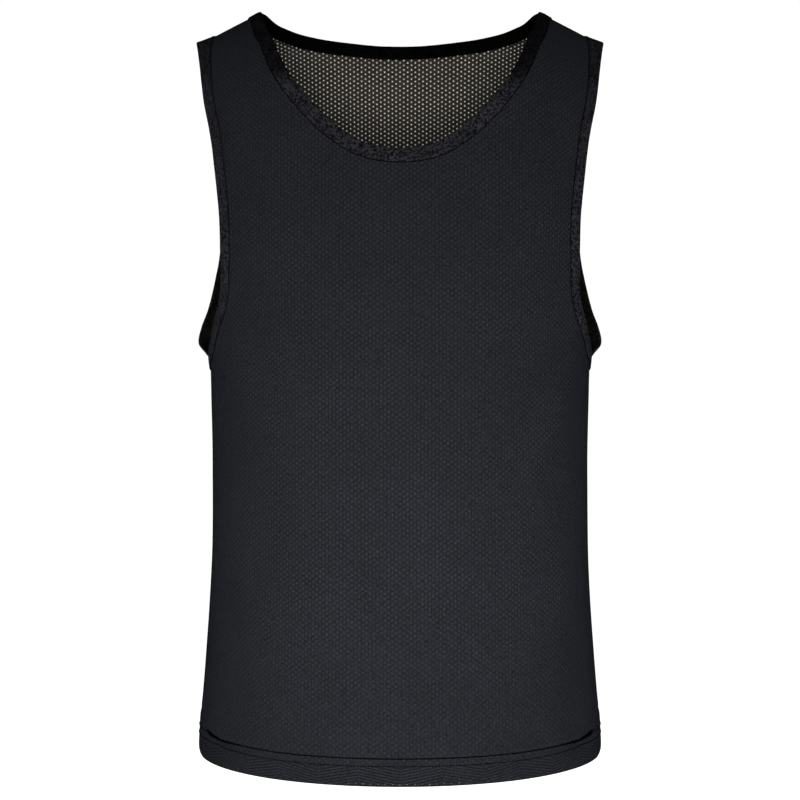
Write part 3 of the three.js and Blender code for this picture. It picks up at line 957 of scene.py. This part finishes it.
def hem_band(nodes, cut):
    """How strong the dots are, and the chevrons' light and dark."""
    split = nodes.add("SeparateXYZ")
    nodes.link(cut, split.inputs[0])
    across, up = split.outputs["X"], split.outputs["Y"]
    slant = nodes.math("MULTIPLY", nodes.math("PINGPONG", across, CHEVRON_WIDTH), CHEVRON_SLOPE)
    slanted = nodes.add("CombineXYZ")
    nodes.link(across, slanted.inputs["X"])
    nodes.link(nodes.math("SUBTRACT", up, slant), slanted.inputs["Y"])
    rows = nodes.wave(slanted.outputs["Vector"], "Y", CHEVRON_REPEAT, CHEVRON_WAVER)
    band = nodes.between(up, 1, 0, *BAND_ENDS)
    chevrons = nodes.between(rows, 1 - CHEVRON_STRENGTH, 1 + CHEVRON_STRENGTH)
    low = nodes.between(up, LOW_DOTS, 1, *LOW_DOTS_END)
    return nodes.product(nodes.between(band, 1, BAND_DOTS), low), nodes.between(band, 1, chevrons)


def mesh_cloth(name, see_through):
    """Matt knitted polyester. The yarn round each eyelet, and a closed eyelet's floor, are painted
    lighter as painted light, and the inner faces of see-through cloth are painted lighter and warm,
    as painted light that comes through the cloth."""
    nodes = Nodes(name)
    cut = nodes.coordinates()
    strength, chevrons = hem_band(nodes, cut)
    # Painted light: lighter towards each eyelet's rim
    dots = nodes.product(nodes.between(nodes.shade("rim"), 0, 1, RIM_FROM, 1), strength)
    color = nodes.mix(dots, MESH_BLACK, MESH_RIM_PAINTED_LIGHT)
    # Painted light: the inner face is painted lighter and warm
    if see_through:
        inner_painted_light_color = nodes.mix(dots, INSIDE_PAINTED_LIGHT_BLACK, INSIDE_RIM_PAINTED_LIGHT)
        color = nodes.mix(nodes.inner_face(), color, inner_painted_light_color)
    tone, fuzz = nodes.uneven(*MESH_TONE), nodes.uneven(*MESH_FUZZ)
    # Painted shade: the cloth is darkened along the hem's crease
    off_crease = nodes.math("ABSOLUTE", nodes.math("SUBTRACT", nodes.shade("hem_line"), 0.5))
    core, edge = CREASE_SHADE_CORE / CREASE_SHADE_RANGE, 1 / CREASE_SHADE_RANGE
    crease = nodes.between(off_crease, CREASE_SHADE_DARKEST, 1, core, edge)
    color = nodes.shaded(color, nodes.product(tone, fuzz, crease, chevrons))
    nodes.link(color, nodes.shader.inputs["Base Color"])
    loops = nodes.product(nodes.wave(cut, "Y", *MESH_ROWS), nodes.wave(cut, "X", *MESH_COLUMNS))
    nodes.bump(loops, *MESH_RELIEF)
    return nodes.material


def binding_tape():
    """Fuzzy knitted tape. Its faces towards the body are painted darker, as painted shade."""
    nodes = Nodes("binding_tape")
    cut = nodes.coordinates()
    clumps, tone = nodes.uneven(*TAPE_CLUMPS), nodes.uneven(*TAPE_TONE)
    # Painted shade on the faces towards the body
    color = nodes.mix(nodes.shade("inside"), TAPE_BLACK, TAPE_INSIDE_SHADE)
    shoulder = nodes.between(nodes.shade("shoulder"), 1, SHOULDER_DARKEST)
    color = nodes.shaded(color, nodes.product(clumps, tone, shoulder))
    nodes.link(color, nodes.shader.inputs["Base Color"])
    knit = nodes.product(nodes.wave(cut, "X", *TAPE_RIBS), nodes.noise(*TAPE_KNIT))
    nodes.bump(knit, *TAPE_RELIEF)
    return nodes.material


def sewing_thread():
    nodes = Nodes("sewing_thread")
    twist = nodes.noise(*THREAD_TWIST)
    nodes.link(nodes.mix(twist, THREAD_BLACK, THREAD_LIGHT), nodes.shader.inputs["Base Color"])
    nodes.bump(twist, *THREAD_RELIEF)
    return nodes.material


front_cloth = mesh_cloth("mesh_cloth_front", False)
back_cloth = mesh_cloth("mesh_cloth_back", True)
tape = binding_tape()
thread = sewing_thread()

# The panels and their hems

cuts = {front: Pattern(front), back: Pattern(back)}
pieces = {}
for side_name, side, cloth in (("front", front, front_cloth), ("back", back, back_cloth)):
    cut = cuts[side]
    net = NETS[side_name]
    for part, low, high in (("lower", 0, SPLIT_HEIGHT), ("upper", SPLIT_HEIGHT, CUT_TOP)):
        name = f"{side_name}_panel_{part}"
        pieces[name] = make_net(name, side, cut, net, low, high, cloth)
    name = f"{side_name}_turn_up"
    pieces[name] = make_net(name, side, cut, NETS[name], 0, HEM_TURN_UP, cloth, turned_up)

# The bindings' section: distance in from the free edge, and lift. The outer face and the face
# towards the cloth are given above the cloth, and are the same below it.
TAPE_OUTER = [
    (12.45, 0.55), (12.6, 1.0), (12.2, 1.35), (11.5, 1.42), (11.0, 1.12), (10.5, 1.42),
    (8.5, 1.58), (6.0, 1.64), (3.5, 1.62), (1.8, 1.5), (0.8, 1.22), (0.25, 0.75),
]
TAPE_INNER = [(2.0, 0.45), (7.0, 0.5)]
OUTER_FOLD = [(0.05, 0.01)]
INNER_FOLD = [(1.4, -0.01)]


def below(rows):
    """The same rows on the other side of the cloth, in the other order."""
    return [(distance, -lift) for distance, lift in reversed(rows)]


TAPE_OUTSIDE = TAPE_OUTER + OUTER_FOLD + below(TAPE_OUTER)
TAPE_SECTION = TAPE_OUTSIDE + below(TAPE_INNER) + INNER_FOLD + TAPE_INNER
TAPE_WIDTH = 25
TAPE_RIPPLE = 0.1
STITCHES_IN = 13.1
STITCH_LIFT = 0.5
HEM_THREAD_RADIUS = 0.42

# Each edge: whether it is the neck, its stretches, whether its faces turn the other way, how
# dark it is at the shoulder, and its thread's radius
ROUND_NECK = ((front, 1, True), (back, 1, False), (back, -1, True), (front, -1, False))
EDGES = {
    "neck": (True, ROUND_NECK, False, 1, 0.5),
    "armhole_left": (False, ((front, -1, True), (back, -1, False)), True, 0.5, 0.3),
    "armhole_right": (False, ((front, 1, True), (back, 1, False)), False, 0.5, 0.3),
}
for edge, (at_neck, stretches, flipped, shaded, thickness) in EDGES.items():
    name = f"{edge}_tape"
    ring = round_edge(at_neck, stretches)
    pieces[name] = make_band(name, ring, TAPE_SECTION, tape, True, flipped, TAPE_RIPPLE, shaded)
    length, _ = walk(ring(TAPE_WIDTH / 4, 0))
    lines = []
    for lift in (STITCH_LIFT, -STITCH_LIFT):
        lines.append((ring(STITCHES_IN, lift), ring(STITCHES_IN, lift + math.copysign(1, lift))))
    name = f"{edge}_stitches"
    pieces[name] = make_stitches(name, lines, thread, thickness)

# The hem: two rows of stitches outside, loops between them inside, and the rolled fold
HEM_ROWS = (23.2, 17.0)
HEM_STITCH_LIFT = 0.3
INSIDE_LIFT = -TURN_UP_GAP - 0.35
LOOP_PITCH = 3.2
# Height above the fold, and lift
FOLD_SECTION = [(0.55, 0.1), (0.15, 0.3), (-0.1, -0.1), (-0.1, -0.8), (0.15, -1.2), (0.55, -1.0)]

lines = []
for up in HEM_ROWS:
    lifts = (HEM_STITCH_LIFT, HEM_STITCH_LIFT + 1)
    lines.append(tuple(hem_ring(up, lift, STITCHES_RISE) for lift in lifts))
pieces["hem_stitches"] = make_stitches("hem_stitches", lines, thread, HEM_THREAD_RADIUS)
upper_row, lower_row = (hem_ring(up, INSIDE_LIFT) for up in HEM_ROWS)
further_in = hem_ring(HEM_ROWS[0], INSIDE_LIFT - 1)
hem_loops = make_zigzag("hem_loops", upper_row, lower_row, further_in, thread, LOOP_PITCH)
pieces["hem_loops"] = hem_loops
pieces["hem_fold"] = make_band("hem_fold", hem_ring, FOLD_SECTION, front_cloth)

# The side and shoulder seams: a sunk line outside, and inside an overlocked allowance that
# lies on the back. Their sections give the distance from the seam, and lift, and the side
# seams' two stretches run between heights above the fold.
SEAM_LINE = [(1.1, 0.12), (0.5, 0.02), (0, -0.3), (0, -0.75), (0.6, -0.6), (1.1, -0.35)]
ALLOWANCE = [(0.2, -0.5), (3, -0.75), (5.8, -0.9), (6.3, -1.3), (5.8, -1.75), (3, -1.85), (0.2, -1.5)]
SIDE_SEAM = (0.5, 354)
INNER_SIDE_SEAM = (30, 345)
SHOULDER_SEAM_INSET = 4


def seam_band(name, line, profile, side, sign):
    """A strip of the front's cloth along a seam, with its outside outwards on either half."""
    flipped = (side is front) != (sign > 0)
    pieces[name] = make_band(name, line, profile, front_cloth, False, flipped)


for side_name, sign in (("left", -1), ("right", 1)):
    shoulder = (NECK_POINT_TURN + SHOULDER_SEAM_INSET, TIP_TURN - SHOULDER_SEAM_INSET)
    for panel_name, side in (("front", front), ("back", back)):
        line = along_side_seam(side, sign, *SIDE_SEAM)
        seam_band(f"side_seam_{panel_name}_{side_name}", line, SEAM_LINE, side, sign)
        line = along_shoulder_seam(side, sign, *shoulder)
        seam_band(f"shoulder_seam_{panel_name}_{side_name}", line, SEAM_LINE, side, sign)
    line = along_side_seam(back, sign, *INNER_SIDE_SEAM)
    seam_band(f"side_allowance_{side_name}", line, ALLOWANCE, back, sign)
    line = along_shoulder_seam(back, sign, *shoulder)
    seam_band(f"shoulder_allowance_{side_name}", line, ALLOWANCE, back, sign)

# Each piece hangs from the root, and stands for a part of the model, which is hidden

for piece in pieces.values():
    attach(piece, "root")
    is_trim = any(word in piece.name for word in ("tape", "stitches", "loops"))

STANDS_FOR = {
    "front_panel_lower": "front_panel",
    "front_panel_upper": "front_panel",
    "back_panel_lower": "back_panel",
    "back_panel_upper": "back_panel",
    "front_turn_up": "front_hem_turn_up",
    "back_turn_up": "back_hem_turn_up",
    "neck_tape": "neck_binding",
    "armhole_left_tape": "armhole_binding_left",
    "armhole_right_tape": "armhole_binding_right",
}
for name, node in STANDS_FOR.items():
    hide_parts(node)

# What is sewn on each sheet
SEWN_ON = {f"{edge}_tape": [f"{edge}_stitches"] for edge in EDGES}
SEWN_ON["front_panel_lower"] = ["hem_fold", "hem_stitches", "hem_loops"]
for piece_name in pieces:
    if "_seam_front_" in piece_name:
        SEWN_ON.setdefault("front_panel_upper", []).append(piece_name)
    elif "_seam_back_" in piece_name or "_allowance_" in piece_name:
        SEWN_ON.setdefault("back_panel_upper", []).append(piece_name)

# The floor, the light and the camera, in metres and in the photo's pixels

CAMERA_DISTANCE = 1.75
CAMERA_HEIGHT = -0.292
FOCAL_PIXELS = 1902
PHOTO_WIDTH = 800
HORIZON_ROW = 347.5
SENSOR_WIDTH = 36
FLOOR_HEIGHT = -1.05
FLOOR_RADIUS = 14
FLOOR_WHITE = (0.85, 0.85, 0.85, 1)
FLOOR_GLOW = 0.56
# The sky's strength falls from one to the other between two heights of a direction's Z
SKY_HEIGHTS = (0.3, 0.9)
SKY_STRENGTHS = (1.02, 0.35)

scene = bpy.context.scene
scene.view_settings.view_transform = "Standard"

world = bpy.data.worlds.new("studio")
world.use_nodes = True
tree = world.node_tree
way = tree.nodes.new("ShaderNodeTexCoord")
axes = tree.nodes.new("ShaderNodeSeparateXYZ")
overhead = tree.nodes.new("ShaderNodeMapRange")
overhead.interpolation_type = "SMOOTHSTEP"
sockets = ("From Min", "From Max", "To Min", "To Max")
for socket, value in zip(sockets, SKY_HEIGHTS + SKY_STRENGTHS):
    overhead.inputs[socket].default_value = value
background = tree.nodes["Background"]
background.inputs["Color"].default_value = (1, 1, 1, 1)
tree.links.new(way.outputs["Generated"], axes.inputs[0])
tree.links.new(axes.outputs["Z"], overhead.inputs["Value"])
tree.links.new(overhead.outputs["Result"], background.inputs["Strength"])
scene.world = world

bpy.ops.mesh.primitive_circle_add(
    vertices=96, radius=FLOOR_RADIUS, fill_type="NGON", location=(0, 0, FLOOR_HEIGHT)
)
floor = bpy.context.object
floor.name = "floor"
white = bpy.data.materials.new("floor_white")
white.use_nodes = True
shader = white.node_tree.nodes["Principled BSDF"]
shader.inputs["Base Color"].default_value = FLOOR_WHITE
shader.inputs["Roughness"].default_value = 1
shader.inputs["Specular IOR Level"].default_value = 0
shader.inputs["Emission Color"].default_value = (1, 1, 1, 1)
shader.inputs["Emission Strength"].default_value = FLOOR_GLOW
floor.data.materials.append(white)


def soft_light(name, place, aim, size, power, spread):
    """A round light at a place, aimed at a point. Its spread is in degrees."""
    light = bpy.data.lights.new(name, "AREA")
    light.shape = "DISK"
    light.size = size
    light.energy = power
    light.spread = math.radians(spread)
    lamp = bpy.data.objects.new(name, light)
    lamp.location = place
    way = Vector(aim) - Vector(place)
    lamp.rotation_euler = way.to_track_quat("-Z", "Y").to_euler()
    scene.collection.objects.link(lamp)


soft_light("front_softbox", (0, -2.4, -0.72), (0, -0.15, -0.6), 0.9, 10, 36)
soft_light("fill", (-1.2, -2.0, -0.2), (0, 0, -0.35), 1.4, 3, 180)
soft_light("back_softbox", (0, 2.6, -0.3), (0, 0.1, -0.35), 1.4, 16, 50)

camera = bpy.data.objects.new("camera", bpy.data.cameras.new("camera"))
camera.data.sensor_width = SENSOR_WIDTH
camera.data.lens = FOCAL_PIXELS / PHOTO_WIDTH * SENSOR_WIDTH
camera.data.shift_y = (HORIZON_ROW - PHOTO_WIDTH / 2) / PHOTO_WIDTH
camera.data.clip_end = 60
camera.location = (0, -CAMERA_DISTANCE, CAMERA_HEIGHT)
camera.rotation_euler = (math.pi / 2, 0, 0)
scene.collection.objects.link(camera)
scene.camera = camera
